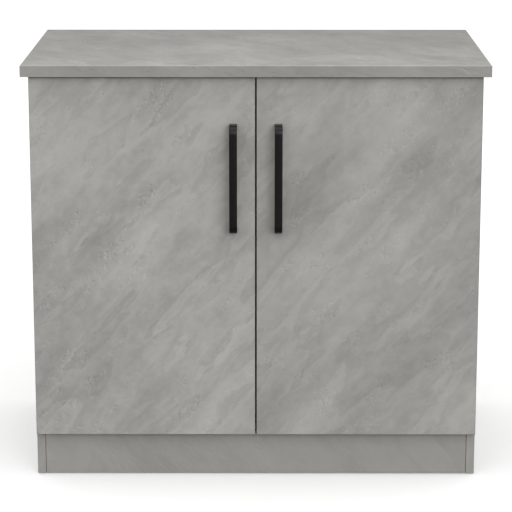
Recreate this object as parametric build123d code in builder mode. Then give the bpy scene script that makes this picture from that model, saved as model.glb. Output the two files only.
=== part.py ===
from build123d import *
import math
import os

# Kitchen base cabinet: a carcass of boards on floor glides, a laminated worktop,
# two overlay doors on four cup hinges with two links each, and two black bow handles.
# The front faces -Y, +X is to the viewer's right and +Z is up, in millimetres.
# The origin is on the floor, under the middle of the overall box.

# Worktop and overall sizes
worktop_width = 1000.0
worktop_depth = 600.0
worktop_thickness = 25.0
total_height = 920.0
side_overhang = 15.0
front_overhang = 15.0
rear_overhang = 1.0

# Boards and edge bands
board = 18.0
back_board = 3.0
carcass_band = 0.8
worktop_band = 2.0
worktop_band_radius = 1.9
door_band = 1.0
door_band_radius = 0.7

# Floor glides and plinth
glide_height = 2.0
glide_radius = 8.0
glide_rounding = 0.7
glide_pin_radius = 1.4
glide_pin_length = 12.0
glide_inset = 30.0
bottom_height = 100.0
plinth_setback = 1.0
plinth_floor_gap = 3.0
plinth_top_gap = 2.0
plinth_end_gap = 1.0
plinth_block = 22.0
plinth_block_length = 70.0
plinth_block_inset = 147.0
plinth_block_chamfer = 7.0
rear_plinth_inset = 48.0
rear_plinth_floor_gap = 10.0

# Rails, shelf and back
rail_depth = 90.0
wall_rail_height = 100.0
shelf_setback = 20.0
shelf_rear_gap = 6.0
shelf_side_gap = 1.0
back_inset = 1.0
strip_web = 2.0
strip_flange = 1.0
strip_width = 18.0
strip_play = 0.3

# Doors
door_thickness = 18.0
door_carcass_gap = 2.0
door_reveal = 1.0
door_meeting_gap = 3.0
door_top_gap = 3.0
door_bottom_overlap = 2.0
buffer_radius = 4.0
buffer_rounding = 0.6
buffer_play = 0.3
buffer_inset = 14.0

# Handles
handle_centres = 224.0
handle_width = 14.0
handle_bar = 9.0
handle_foot_height = 12.0
handle_foot_spread = 1.5
handle_flare = 9.0
handle_projection = 35.0
handle_outer_radius = 18.0
handle_inner_radius = 9.0
handle_rounding = 2.0
handle_inset = 47.0
handle_drop = 99.0

# Fasteners and joint fittings
fit = 0.05
handle_screw_radius = 2.0
handle_screw_grip = 10.0
pan_head_radius = 4.0
pan_head_height = 2.2
pan_head_rounding = 1.1
worktop_screw_radius = 2.1
worktop_screw_bite = 15.0
worktop_screw_inset = 87.0
cam_radius = 7.45
cam_depth = 12.5
cam_inset = 34.0
cam_bolt_radius = 3.45
cam_bolt_thread_radius = 2.45
cam_bolt_thread = 11.0
dowel_radius = 4.0
dowel_length = 30.0
dowel_in_side = 10.0
dowel_offset = 25.0
dowel_edge = 20.0
nail_radius = 0.8
nail_head_radius = 2.2
nail_head_height = 0.5
nail_length = 18.0
nail_rows = 6
nail_end = 50.0
edge_nail_insets = (137.0, 352.0)
wall_fixing_radius = 3.0
wall_fixing_inset = 117.0
system_hole_radius = 2.5
system_hole_depth = 12.0
system_pitch = 32.0
system_inset = 37.0
system_rows = 5
shelf_pin_reach = 8.0
shelf_pin_collar_radius = 4.0
shelf_pin_collar = 0.8

# Cup hinges, in plan: u runs from the cup's centre into the cupboard, and v from
# the closed door's back face into the cupboard
hinge_inset = 100.0
full_opening = 100.0
outer_link_turn = 20.0
inner_link_turn = 42.0
cup_pivot_outer = (-12.1, -8.1)
cup_pivot_inner = (-8.7, -5.5)
arm_pivot_outer = (12.5, 2.9)
cup_edge_distance = 5.0
cup_radius = 17.45
cup_wall = 0.85
cup_floor = 0.6
cup_depth = 13.0
flange_lip = 1.55
flange_thickness = 0.9
flange_edge = 0.6
flange_ear_radius = 5.5
cup_screw_spacing = 45.0
cup_screw_offset = 9.5
cup_screw_radius = 1.8
cup_screw_length = 12.0
cup_screw_head_radius = 3.2
cup_screw_head_height = 1.2
link_pin_radius = 1.2
cup_pin_seat = 3.0
outer_link_thickness = 4.4
outer_link_width = 3.0
outer_link_bow = 7.2
outer_eye_radius = 2.6
link_play = 0.4
inner_link_thickness = 1.8
inner_link_width = 4.0
inner_link_bow = 1.5
inner_eye_radius = 2.3
slot_travel = 2.4
slot_side_play = 1.1
slot_clearance = 0.1
slot_wall = 1.1

# Hinge arms and mounting plates
arm_sheet = 1.6
arm_play = 0.5
arm_height = 11.0
arm_foot_clearance = 1.0
arm_nose_radius = 2.7
arm_web_clearance = 3.3
arm_crank = 7.1
arm_rear_reach = 23.0
arm_knee_reach = 13.0
plate_wing_thickness = 2.2
plate_wing_length = 22.0
plate_wing_span = 54.0
plate_wing_radius = 5.0
plate_rail_play = 0.2
plate_rail_front = 19.0
plate_rail_rear = 27.0
plate_rail_chamfer = 3.0
plate_screw_spacing = 32.0
plate_screw_tip_gap = 1.0
plate_screw_head_radius = 4.0
plate_screw_head_height = 1.8
arm_screw_radius = 1.9
arm_screw_depth = 6.0
arm_screw_head_radius = 3.2
arm_screw_head_height = 1.4
arm_screw_places = (-7.0, 14.0)

# Planes and edges of the carcass that follow from the sizes
half_worktop = worktop_width / 2
half_carcass = half_worktop - side_overhang
half_inside = half_carcass - board
rear_y = (worktop_depth + handle_projection - front_overhang) / 2
worktop_front = rear_y - worktop_depth
door_front = worktop_front + front_overhang
door_back = door_front + door_thickness
carcass_front = door_back + door_carcass_gap
back_rear = rear_y - rear_overhang
carcass_rear = back_rear - back_board
carcass_top = total_height - worktop_thickness
floor_top = bottom_height + board
rail_bottom = carcass_top - board
wall_rail_bottom = rail_bottom - wall_rail_height
front_rail_rear = carcass_front + rail_depth
rear_rail_front = carcass_rear - rail_depth
plinth_rear = carcass_front + plinth_setback + board
rear_plinth_rear = carcass_rear - rear_plinth_inset
front_holes_y = carcass_front + system_inset
rear_holes_y = carcass_rear - system_inset
shelf_pin_height = (floor_top + rail_bottom) / 2
shelf_bottom = shelf_pin_height + system_hole_radius
shelf_front = carcass_front + shelf_setback

# Doors and handles
door_top = carcass_top - door_top_gap
door_bottom = bottom_height - door_bottom_overlap
half_meeting = door_meeting_gap / 2
door_outer = half_carcass - door_reveal
handle_x = half_meeting + handle_inset
handle_half = (handle_centres + handle_foot_height) / 2
handle_foot_width = handle_width + handle_foot_spread * 2
handle_middle = door_top - handle_drop - handle_half
handle_front = door_front - handle_projection
handle_feet = [(-handle_x, handle_middle + end * handle_centres / 2) for end in (-1, 1)]
hinge_heights = (door_bottom + hinge_inset, door_top - hinge_inset)

# Joint fittings of the left-hand half, as places (y, z) on the side panel's inner face
bottom_middle = bottom_height + board / 2
rail_middle = rail_bottom + board / 2
front_joint_y = carcass_front + rail_depth / 2
rear_joint_y = carcass_rear - rail_depth / 2
joint_rows = (front_joint_y, rear_joint_y)
dowel_rows = (front_joint_y + dowel_offset, rear_joint_y - dowel_offset)
bottom_bolts = [(y, bottom_middle) for y in joint_rows]
rail_bolts = [(y, rail_middle) for y in joint_rows]
bottom_dowels = [(y, bottom_middle) for y in dowel_rows]
rail_dowels = [(y, rail_middle) for y in dowel_rows]
wall_rail_dowels = [
    (carcass_rear - board / 2, z) for z in (wall_rail_bottom + dowel_edge, rail_bottom - dowel_edge)
]
plinth_dowels = [
    (rear_plinth_rear - board / 2, z)
    for z in (rear_plinth_floor_gap + dowel_edge, bottom_height - dowel_edge)
]
all_bolts = bottom_bolts + rail_bolts
all_dowels = bottom_dowels + rail_dowels + wall_rail_dowels + plinth_dowels
shelf_holes = [
    (y, shelf_pin_height + system_pitch * (row - (system_rows - 1) / 2))
    for y in (front_holes_y, rear_holes_y)
    for row in range(system_rows)
]
plate_holes = [
    (front_holes_y, z + end * plate_screw_spacing / 2) for z in hinge_heights for end in (-1, 1)
]
glide_places = [
    (board / 2 - half_carcass, y) for y in (carcass_front + glide_inset, carcass_rear - glide_inset)
]
worktop_screw_rows = (worktop_screw_inset - half_inside, 0.0, half_inside - worktop_screw_inset)
worktop_screw_places = [(x, y) for x in worktop_screw_rows for y in joint_rows]

# Nails of the back's left-hand half, as places (x, z)
nail_low = bottom_height + nail_end
nail_high = carcass_top - nail_end
side_nails = [
    (board / 2 - half_carcass, nail_low + (nail_high - nail_low) * row / (nail_rows - 1))
    for row in range(nail_rows)
]
bottom_nails = [(inset - half_inside, bottom_middle) for inset in edge_nail_insets]
rail_nails = [(inset - half_inside, rail_middle) for inset in edge_nail_insets]
all_nails = side_nails + bottom_nails + rail_nails
wall_fixing = (wall_fixing_inset - half_inside, wall_rail_bottom + wall_rail_height / 2)

# Hinge pivots in plan. The inner link's pivot on the arm is the pole about which
# that link makes its whole turn while the door opens fully.
a_pivot = Vector(*cup_pivot_outer)
b_pivot = Vector(*cup_pivot_inner)
c_pivot = Vector(*arm_pivot_outer)
opened_a = c_pivot + (a_pivot - c_pivot).rotate(Axis.Z, outer_link_turn)
opened_b = opened_a + (b_pivot - a_pivot).rotate(Axis.Z, -full_opening)
chord = opened_b - b_pivot
pole_share = 0.5 / math.tan(math.radians(inner_link_turn) / 2)
d_pivot = b_pivot + chord * 0.5 + chord.rotate(Axis.Z, 90.0) * pole_share
cup_x = cup_edge_distance + cup_radius + fit - door_outer
panel_u = -half_inside - cup_x
plate_v = front_holes_y - door_back
inner_link_gap = outer_link_thickness + link_play * 2
inner_link_half = inner_link_gap / 2 + inner_link_thickness
arm_inner_width = (inner_link_half + arm_play) * 2
arm_half = arm_inner_width / 2 + arm_sheet
cup_channel = (arm_half + arm_play) * 2
cup_pin_half = cup_channel / 2 + cup_pin_seat
plate_rail_width = arm_inner_width - plate_rail_play * 2
plate_screw_length = system_hole_depth - plate_screw_tip_gap
arm_screw_holes = [(front_holes_y + shift, z) for z in hinge_heights for shift in arm_screw_places]
cup_screw_places = [(cup_screw_offset, end * cup_screw_spacing / 2) for end in (-1, 1)]

os.makedirs("parts", exist_ok=True)


def finish(piece, name):
    """Label a finished sub-part and write its file."""
    piece.part.label = name
    export_step(piece.part, f"parts/{name}.step")


def finish_pair(left, name):
    """Write a left-hand sub-part, and its mirror image for the right."""
    finish(left, f"left_{name}")
    with BuildPart() as right:
        mirror(left.part, about=Plane.YZ)
    finish(right, f"right_{name}")


def area(low_a, high_a, low_b, high_b, mode=Mode.ADD):
    """Draw the rectangle between two corners of the sketch's own axes."""
    with Locations(((low_a + high_a) / 2, (low_b + high_b) / 2)):
        Rectangle(high_a - low_a, high_b - low_b, mode=mode)


def discs(places, radius, mode=Mode.ADD):
    """Draw one circle at each place."""
    with Locations(*places):
        Circle(radius, mode=mode)


def drill(plane, places, radius, depth):
    """Drill running-fit holes below a plane, or above it where the depth is negative."""
    with BuildSketch(plane) as holes:
        discs(places, radius + fit)
    extrude(holes.sketch, amount=-depth, mode=Mode.SUBTRACT)


inner_face = Plane.YZ.offset(-half_inside)
rear_face = Plane.XZ.offset(-carcass_rear)
nail_depth = nail_length - back_board + fit
dowel_depth = dowel_length - dowel_in_side + fit

# Side panels, with the holes for shelf pins, mounting plates and joint fittings
with BuildPart() as side_panel:
    with BuildSketch(Plane.XY.offset(glide_height)):
        area(-half_carcass, -half_inside, carcass_front + carcass_band, carcass_rear)
    extrude(amount=carcass_top - glide_height)
    drill(inner_face, shelf_holes + plate_holes, system_hole_radius, system_hole_depth)
    drill(inner_face, all_bolts, cam_bolt_thread_radius, cam_bolt_thread + fit)
    drill(inner_face, all_dowels, dowel_radius, dowel_in_side + fit)
    drill(rear_face, side_nails, nail_radius, -nail_depth)
    drill(Plane.XY.offset(glide_height), glide_places, glide_pin_radius, -glide_pin_length - fit)
finish_pair(side_panel, "side_panel")

# Boards between the side panels: each is made as its left-hand half and mirrored
with BuildPart() as bottom_panel:
    with BuildSketch(Plane.XY.offset(bottom_height)):
        area(-half_inside, 0, carcass_front + carcass_band, carcass_rear)
    extrude(amount=board)
    drill(inner_face, bottom_dowels, dowel_radius, -dowel_depth)
    drill(inner_face, bottom_bolts, cam_bolt_radius, -cam_inset)
    cam_places = [(cam_inset - half_inside, y) for y in joint_rows]
    drill(Plane.XY.offset(bottom_height), cam_places, cam_radius, -cam_depth - fit)
    drill(rear_face, bottom_nails, nail_radius, -nail_depth)
    mirror(about=Plane.YZ)
finish(bottom_panel, "bottom_panel")

with BuildPart() as front_top_rail:
    with BuildSketch(Plane.XY.offset(rail_bottom)):
        area(-half_inside, 0, carcass_front + carcass_band, front_rail_rear)
    extrude(amount=board)
    drill(inner_face, rail_dowels[:1], dowel_radius, -dowel_depth)
    drill(inner_face, rail_bolts[:1], cam_bolt_radius, -cam_inset)
    drill(Plane.XY.offset(rail_bottom), cam_places[:1], cam_radius, -cam_depth - fit)
    mirror(about=Plane.YZ)
    screw_places = [(x, front_joint_y) for x in worktop_screw_rows]
    drill(Plane.XY.offset(rail_bottom), screw_places, worktop_screw_radius, -board)
finish(front_top_rail, "front_top_rail")

with BuildPart() as rear_top_rail:
    with BuildSketch(Plane.XY.offset(rail_bottom)):
        area(-half_inside, 0, rear_rail_front, carcass_rear)
    extrude(amount=board)
    drill(inner_face, rail_dowels[1:], dowel_radius, -dowel_depth)
    drill(inner_face, rail_bolts[1:], cam_bolt_radius, -cam_inset)
    drill(Plane.XY.offset(rail_bottom), cam_places[1:], cam_radius, -cam_depth - fit)
    drill(rear_face, rail_nails, nail_radius, -nail_depth)
    mirror(about=Plane.YZ)
    screw_places = [(x, rear_joint_y) for x in worktop_screw_rows]
    drill(Plane.XY.offset(rail_bottom), screw_places, worktop_screw_radius, -board)
finish(rear_top_rail, "rear_top_rail")

# Upright rail inside the back, through which the cabinet is fixed to a wall
with BuildPart() as wall_rail:
    with BuildSketch(rear_face):
        area(-half_inside, 0, wall_rail_bottom, rail_bottom)
        discs([wall_fixing], wall_fixing_radius, mode=Mode.SUBTRACT)
    extrude(amount=board)
    drill(inner_face, wall_rail_dowels, dowel_radius, -dowel_depth)
    mirror(about=Plane.YZ)
finish(wall_rail, "wall_rail")

with BuildPart() as shelf:
    with BuildSketch(Plane.XY.offset(shelf_bottom)):
        area(
            shelf_side_gap - half_inside,
            half_inside - shelf_side_gap,
            shelf_front + carcass_band,
            carcass_rear - shelf_rear_gap,
        )
    extrude(amount=board)
finish(shelf, "shelf")

# Plinth: a front board between the side panels, backed by blocks that are glued
# under the bottom panel, and a rail between the side panels near the back
with BuildPart() as plinth_board:
    with BuildSketch(Plane.XZ.offset(-plinth_rear)):
        area(
            plinth_end_gap - half_inside,
            half_inside - plinth_end_gap,
            plinth_floor_gap,
            bottom_height - plinth_top_gap,
        )
    extrude(amount=board)
finish(plinth_board, "plinth_board")

with BuildPart() as plinth_blocks:
    for x in (plinth_block_inset - half_inside, 0.0, half_inside - plinth_block_inset):
        with BuildSketch(Plane.YZ.offset(x)):
            area(plinth_rear, plinth_rear + plinth_block, bottom_height - plinth_block, bottom_height)
            chamfer(vertices().group_by(Axis.X)[-1].sort_by(Axis.Y)[0], plinth_block_chamfer)
        extrude(amount=plinth_block_length / 2, both=True)
finish(plinth_blocks, "plinth_blocks")

with BuildPart() as rear_plinth_rail:
    with BuildSketch(Plane.XY.offset(rear_plinth_floor_gap)):
        area(-half_inside, 0, rear_plinth_rear - board, rear_plinth_rear)
    extrude(amount=bottom_height - rear_plinth_floor_gap)
    drill(inner_face, plinth_dowels, dowel_radius, -dowel_depth)
    mirror(about=Plane.YZ)
finish(rear_plinth_rail, "rear_plinth_rail")

# Edge bands on the front edges of the side panels, bottom panel, front rail and shelf
with BuildPart() as carcass_edge_bands:
    with BuildSketch(Plane.XZ.offset(-carcass_front - carcass_band)):
        area(-half_carcass, -half_inside, glide_height, carcass_top)
        area(half_inside, half_carcass, glide_height, carcass_top)
        area(-half_inside, half_inside, bottom_height, floor_top)
        area(-half_inside, half_inside, rail_bottom, carcass_top)
    extrude(amount=carcass_band)
finish(carcass_edge_bands, "carcass_edge_bands")

with BuildPart() as shelf_edge_band:
    with BuildSketch(Plane.XZ.offset(-shelf_front - carcass_band)):
        area(
            shelf_side_gap - half_inside,
            half_inside - shelf_side_gap,
            shelf_bottom,
            shelf_bottom + board,
        )
    extrude(amount=carcass_band)
finish(shelf_edge_band, "shelf_edge_band")

# Back: two thin boards nailed behind the carcass, joined by an H-shaped strip
with BuildPart() as back_panel:
    with BuildSketch(Plane.XZ.offset(-back_rear)):
        area(back_inset - half_carcass, -strip_web / 2 - strip_play, bottom_height, carcass_top)
        discs(all_nails, nail_radius + fit, mode=Mode.SUBTRACT)
        discs([wall_fixing], wall_fixing_radius, mode=Mode.SUBTRACT)
    extrude(amount=back_board)
finish_pair(back_panel, "back_panel")

with BuildPart() as back_joint_strip:
    with BuildSketch(Plane.XY.offset(bottom_height)):
        area(-strip_web / 2, strip_web / 2, carcass_rear, back_rear)
        area(-strip_width / 2, strip_width / 2, back_rear, back_rear + strip_flange)
    extrude(amount=carcass_top - bottom_height)
    with BuildSketch(Plane.XY.offset(floor_top)):
        area(-strip_width / 2, strip_width / 2, carcass_rear - strip_flange, carcass_rear)
    extrude(amount=wall_rail_bottom - floor_top)
finish(back_joint_strip, "back_joint_strip")

with BuildPart() as back_nails:
    with BuildSketch(Plane.XZ.offset(-back_rear)):
        discs(all_nails, nail_radius)
    extrude(amount=nail_length)
    with BuildSketch(Plane.XZ.offset(-back_rear)):
        discs(all_nails, nail_head_radius)
    extrude(amount=-nail_head_height)
    mirror(about=Plane.YZ)
finish(back_nails, "back_nails")

# Worktop: a board with a band round its front edge and its two ends
with BuildPart() as worktop:
    with BuildSketch(Plane.XY.offset(carcass_top)):
        area(
            worktop_band - half_worktop,
            half_worktop - worktop_band,
            worktop_front + worktop_band,
            rear_y,
        )
    extrude(amount=worktop_thickness)
    drill(
        Plane.XY.offset(carcass_top), worktop_screw_places, worktop_screw_radius, -worktop_screw_bite - fit
    )
finish(worktop, "worktop")

with BuildPart() as worktop_edge_band:
    with BuildSketch(Plane.XY.offset(carcass_top)):
        area(-half_worktop, half_worktop, worktop_front, rear_y)
    extrude(amount=worktop_thickness)
    top_rounding = min(worktop_band_radius, worktop_band * 0.95)
    fillet(edges().group_by(Axis.Z)[-1].sort_by(Axis.Y)[:-1], top_rounding)
    with BuildSketch(Plane.XY.offset(carcass_top)):
        area(
            worktop_band - half_worktop,
            half_worktop - worktop_band,
            worktop_front + worktop_band,
            rear_y,
        )
    extrude(amount=worktop_thickness, mode=Mode.SUBTRACT)
finish(worktop_edge_band, "worktop_edge_band")

with BuildPart() as worktop_screws:
    with BuildSketch(Plane.XY.offset(rail_bottom)):
        discs(worktop_screw_places, worktop_screw_radius)
    extrude(amount=board + worktop_screw_bite)
    with BuildSketch(Plane.XY.offset(rail_bottom)):
        discs(worktop_screw_places, pan_head_radius)
    extrude(amount=-pan_head_height)
    fillet(edges().group_by(Axis.Z)[0], pan_head_rounding)
finish(worktop_screws, "worktop_screws")

# Cam locks in the boards' undersides, the bolts they draw in, and the dowels beside them
with BuildPart() as cam_locks:
    for underside in (bottom_height, rail_bottom):
        with BuildSketch(Plane.XY.offset(underside)):
            discs(cam_places, cam_radius)
        extrude(amount=cam_depth)
        slot_half = cam_bolt_radius + fit
        with BuildSketch(Plane.XY.offset(underside + board / 2 - slot_half)):
            for y in joint_rows:
                area(-half_inside, cam_inset - half_inside, y - slot_half, y + slot_half)
        extrude(amount=board, mode=Mode.SUBTRACT)
    mirror(about=Plane.YZ)
finish(cam_locks, "cam_locks")

with BuildPart() as cam_bolts:
    with BuildSketch(inner_face):
        discs(all_bolts, cam_bolt_radius)
    extrude(amount=cam_inset - fit)
    with BuildSketch(inner_face):
        discs(all_bolts, cam_bolt_thread_radius)
    extrude(amount=-cam_bolt_thread)
    mirror(about=Plane.YZ)
finish(cam_bolts, "cam_bolts")

with BuildPart() as dowels:
    with BuildSketch(inner_face.offset(-dowel_in_side)):
        discs(all_dowels, dowel_radius)
    extrude(amount=dowel_length)
    mirror(about=Plane.YZ)
finish(dowels, "dowels")

with BuildPart() as shelf_pins:
    pin_places = [(y, shelf_pin_height) for y in (front_holes_y, rear_holes_y)]
    with BuildSketch(inner_face):
        discs(pin_places, system_hole_radius)
    extrude(amount=shelf_pin_reach, both=True)
    with BuildSketch(inner_face):
        discs(pin_places, shelf_pin_collar_radius)
    extrude(amount=min(shelf_pin_collar, shelf_side_gap))
    mirror(about=Plane.YZ)
finish(shelf_pins, "shelf_pins")

with BuildPart() as floor_glides:
    with BuildSketch(Plane.XY):
        discs(glide_places, glide_radius)
    extrude(amount=glide_height)
    fillet(edges().group_by(Axis.Z)[0], glide_rounding)
    with BuildSketch(Plane.XY.offset(glide_height)):
        discs(glide_places, glide_pin_radius)
    extrude(amount=glide_pin_length)
    mirror(about=Plane.YZ)
finish(floor_glides, "floor_glides")

# Doors, bored for the cups and the handle screws and banded on all four edges
cup_planes = [
    Plane(origin=(cup_x, door_back, z), x_dir=(1, 0, 0), z_dir=(0, 1, 0)) for z in hinge_heights
]
door_back_face = Plane.XZ.offset(-door_back)

with BuildPart() as door_panel:
    with BuildSketch(door_back_face):
        area(
            door_band - door_outer,
            -half_meeting - door_band,
            door_bottom + door_band,
            door_top - door_band,
        )
        discs(handle_feet, handle_screw_radius + fit, mode=Mode.SUBTRACT)
    extrude(amount=door_thickness)
    for cup_plane in cup_planes:
        drill(cup_plane, [(0, 0)], cup_radius, cup_depth + fit)
        drill(cup_plane, cup_screw_places, cup_screw_radius, cup_screw_length + fit)
finish_pair(door_panel, "door_panel")

with BuildPart() as door_edge_band:
    with BuildSketch(door_back_face):
        area(-door_outer, -half_meeting, door_bottom, door_top)
    extrude(amount=door_thickness)
    band_rounding = min(door_band_radius, door_band * 0.95)
    fillet(edges().group_by(Axis.Y)[0] + edges().group_by(Axis.Y)[-1], band_rounding)
    with BuildSketch(door_back_face):
        area(
            door_band - door_outer,
            -half_meeting - door_band,
            door_bottom + door_band,
            door_top - door_band,
        )
    extrude(amount=door_thickness, mode=Mode.SUBTRACT)
finish_pair(door_edge_band, "door_edge_band")

with BuildPart() as door_buffers:
    with BuildSketch(door_back_face):
        discs([(-half_meeting - buffer_inset, z) for z in (bottom_middle, rail_middle)], buffer_radius)
    extrude(amount=buffer_play - door_carcass_gap)
    fillet(edges().group_by(Axis.Y)[-1], buffer_rounding)
finish_pair(door_buffers, "door_buffers")

# Bow handle: a bar bent into two feet that flare where they meet the door
gap_half = handle_half - handle_foot_height
with BuildSketch() as finger_gap:
    area(
        handle_front + handle_bar,
        door_front + handle_bar,
        handle_middle - gap_half,
        handle_middle + gap_half,
    )
    fillet(vertices().group_by(Axis.X)[0], handle_inner_radius)

with BuildPart() as handle:
    with BuildSketch(Plane.YZ.offset(-handle_x)):
        area(handle_front, door_front, handle_middle - handle_half, handle_middle + handle_half)
        fillet(vertices().group_by(Axis.X)[0], handle_outer_radius)
        add(finger_gap.sketch, mode=Mode.SUBTRACT)
    extrude(amount=handle_width / 2, both=True)
    side_edges = faces().filter_by(Axis.X).edges()
    fillet(side_edges.filter_by_position(Axis.Y, handle_front, door_front - fit), handle_rounding)
    for foot in handle_feet:
        with BuildSketch(Plane.XZ.offset(handle_flare - door_front)):
            with Locations(foot):
                RectangleRounded(handle_width, handle_foot_height, handle_rounding)
        with BuildSketch(Plane.XZ.offset(-door_front)):
            with Locations(foot):
                RectangleRounded(handle_foot_width, handle_foot_height, handle_rounding)
        loft()
    drill(Plane.XZ.offset(-door_front), handle_feet, handle_screw_radius, -handle_screw_grip - fit)
finish_pair(handle, "handle")

with BuildPart() as handle_screws:
    with BuildSketch(door_back_face):
        discs(handle_feet, handle_screw_radius)
    extrude(amount=door_thickness + handle_screw_grip)
    with BuildSketch(door_back_face):
        discs(handle_feet, pan_head_radius)
    extrude(amount=-pan_head_height)
    fillet(edges().group_by(Axis.Y)[-1], pan_head_rounding)
finish_pair(handle_screws, "handle_screws")

# Cup hinges. Their plan planes have u along X and v along Y, one at each hinge height.
plan = [Plane(origin=(cup_x, door_back, z), x_dir=(1, 0, 0), z_dir=(0, 0, 1)) for z in hinge_heights]
rims = [cup_plane.offset(flange_thickness) for cup_plane in cup_planes]
wing_face = inner_face.offset(plate_wing_thickness)
web_face = inner_face.offset(arm_height)


def at(pivot):
    """Give a pivot's place in the plan."""
    return (pivot.X, pivot.Y)


def clear_middle(half_height):
    """Cut away everything within a height of the hinges' middle planes."""
    with BuildSketch(*plan) as middle:
        Rectangle(hinge_inset, hinge_inset)
    extrude(middle.sketch, amount=half_height, both=True, mode=Mode.SUBTRACT)


def bowed_bar(start, end, bow, width):
    """Draw a bar along the arc that leaves the line of its ends by the bow, to the right."""
    along = end - start
    crown = start + along * 0.5 + along.normalized().rotate(Axis.Z, -90.0) * bow
    SlotArc(Edge.make_three_point_arc(start, crown, end), width)


# Mounting plates: two wings screwed to the side panel, and the rail that carries the arm
with BuildPart() as hinge_plates:
    with BuildSketch(inner_face):
        with Locations(*[(front_holes_y, z) for z in hinge_heights]):
            RectangleRounded(plate_wing_length, plate_wing_span, plate_wing_radius)
        discs(plate_holes, system_hole_radius + fit, mode=Mode.SUBTRACT)
    extrude(amount=plate_wing_thickness)
    with BuildSketch(*plan):
        area(
            panel_u,
            panel_u + arm_height - arm_sheet,
            plate_v - plate_rail_front,
            plate_v + plate_rail_rear,
        )
        chamfer(vertices().group_by(Axis.Y)[-1].sort_by(Axis.X)[-1], plate_rail_chamfer)
    extrude(amount=plate_rail_width / 2, both=True)
    drill(web_face.offset(-arm_sheet), arm_screw_holes, arm_screw_radius, arm_screw_depth + fit)
finish_pair(hinge_plates, "hinge_plates")

# Arms: channels with two cheeks, cranked over the cup, with the links' pins in the nose
knee_rear = plate_v - arm_knee_reach
knee_front = c_pivot.Y + arm_crank
web_rear_u = panel_u + arm_height
web_nose_u = c_pivot.X + arm_nose_radius
crank_angle = math.atan2(web_nose_u - web_rear_u, knee_rear - knee_front)
knee_shift = arm_sheet * math.tan(crank_angle / 2)
arm_rear = plate_v + arm_rear_reach
arm_foot = plate_wing_thickness + arm_foot_clearance
with BuildSketch() as nose:
    discs([at(c_pivot), at(d_pivot)], arm_nose_radius)
    make_hull()

with BuildPart() as hinge_arms:
    with BuildSketch(*plan):
        with BuildLine():
            Polyline(
                (panel_u + arm_foot, arm_rear),
                (web_rear_u, arm_rear),
                (web_rear_u, knee_rear),
                (web_nose_u, knee_front),
                (web_nose_u, c_pivot.Y),
                (c_pivot.X - arm_nose_radius, c_pivot.Y),
                (panel_u + arm_foot, plate_v - plate_rail_front),
                close=True,
            )
        make_face()
        add(nose.sketch)
        discs([at(c_pivot), at(d_pivot)], link_pin_radius + fit, mode=Mode.SUBTRACT)
    extrude(amount=arm_half, both=True)
    with BuildSketch(*plan):
        with BuildLine():
            Polyline(
                (panel_u, arm_rear + arm_sheet),
                (web_rear_u - arm_sheet, arm_rear + arm_sheet),
                (web_rear_u - arm_sheet, knee_rear - knee_shift),
                (web_nose_u - arm_sheet, knee_front - knee_shift),
                (web_nose_u - arm_sheet, c_pivot.Y + arm_web_clearance),
                (web_nose_u + arm_sheet, c_pivot.Y + arm_web_clearance),
                (web_nose_u + arm_sheet, -cup_depth),
                (panel_u, -cup_depth),
                close=True,
            )
        make_face()
    extrude(amount=arm_inner_width / 2, both=True, mode=Mode.SUBTRACT)
    drill(web_face, arm_screw_holes, arm_screw_radius, arm_sheet)
finish_pair(hinge_arms, "hinge_arms")

with BuildPart() as arm_screws:
    with BuildSketch(web_face):
        discs(arm_screw_holes, arm_screw_radius)
    extrude(amount=-arm_sheet - arm_screw_depth)
    with BuildSketch(web_face):
        discs(arm_screw_holes, arm_screw_head_radius)
    extrude(amount=arm_screw_head_height)
finish_pair(arm_screws, "arm_screws")

with BuildPart() as plate_screws:
    with BuildSketch(wing_face):
        discs(plate_holes, system_hole_radius)
    extrude(amount=-plate_wing_thickness - plate_screw_length)
    with BuildSketch(wing_face):
        discs(plate_holes, plate_screw_head_radius)
    extrude(amount=plate_screw_head_height)
finish_pair(plate_screws, "plate_screws")

# Pins fixed in the arms' cheeks: one right across for the outer link, and two
# stubs for the inner link, which leave the outer link's layer free
with BuildPart() as arm_pins:
    with BuildSketch(*plan):
        discs([at(d_pivot)], link_pin_radius)
    extrude(amount=arm_half, both=True)
    clear_middle(inner_link_gap / 2)
    with BuildSketch(*plan):
        discs([at(c_pivot)], link_pin_radius)
    extrude(amount=arm_half, both=True)
finish_pair(arm_pins, "arm_pins")

# Cups: a round pot with a channel for the links, pressed into the door, and a
# flange with two ears that is cut off straight beside the door's edge
with BuildSketch() as flange:
    Circle(cup_radius + flange_lip)
    discs(cup_screw_places, flange_ear_radius)
    make_hull()

with BuildPart() as hinge_cups:
    with BuildSketch(*cup_planes):
        Circle(cup_radius)
    extrude(amount=-cup_depth)
    with BuildSketch(*cup_planes):
        add(flange.sketch)
        area(
            -cup_radius * 2,
            -cup_radius - flange_edge,
            -cup_screw_spacing,
            cup_screw_spacing,
            mode=Mode.SUBTRACT,
        )
        area(-cup_radius * 2, 0, -cup_channel / 2, cup_channel / 2, mode=Mode.SUBTRACT)
        discs(cup_screw_places, cup_screw_radius + fit, mode=Mode.SUBTRACT)
    extrude(amount=flange_thickness)
    with BuildSketch(*rims):
        Circle(cup_radius - cup_wall)
        Rectangle(cup_radius * 2, cup_channel, mode=Mode.INTERSECT)
    extrude(amount=cup_floor - cup_depth - flange_thickness, mode=Mode.SUBTRACT)
    with BuildSketch(*plan):
        discs([at(a_pivot), at(b_pivot)], link_pin_radius + fit)
    extrude(amount=cup_pin_half + fit, both=True, mode=Mode.SUBTRACT)
finish_pair(hinge_cups, "hinge_cups")

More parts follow.
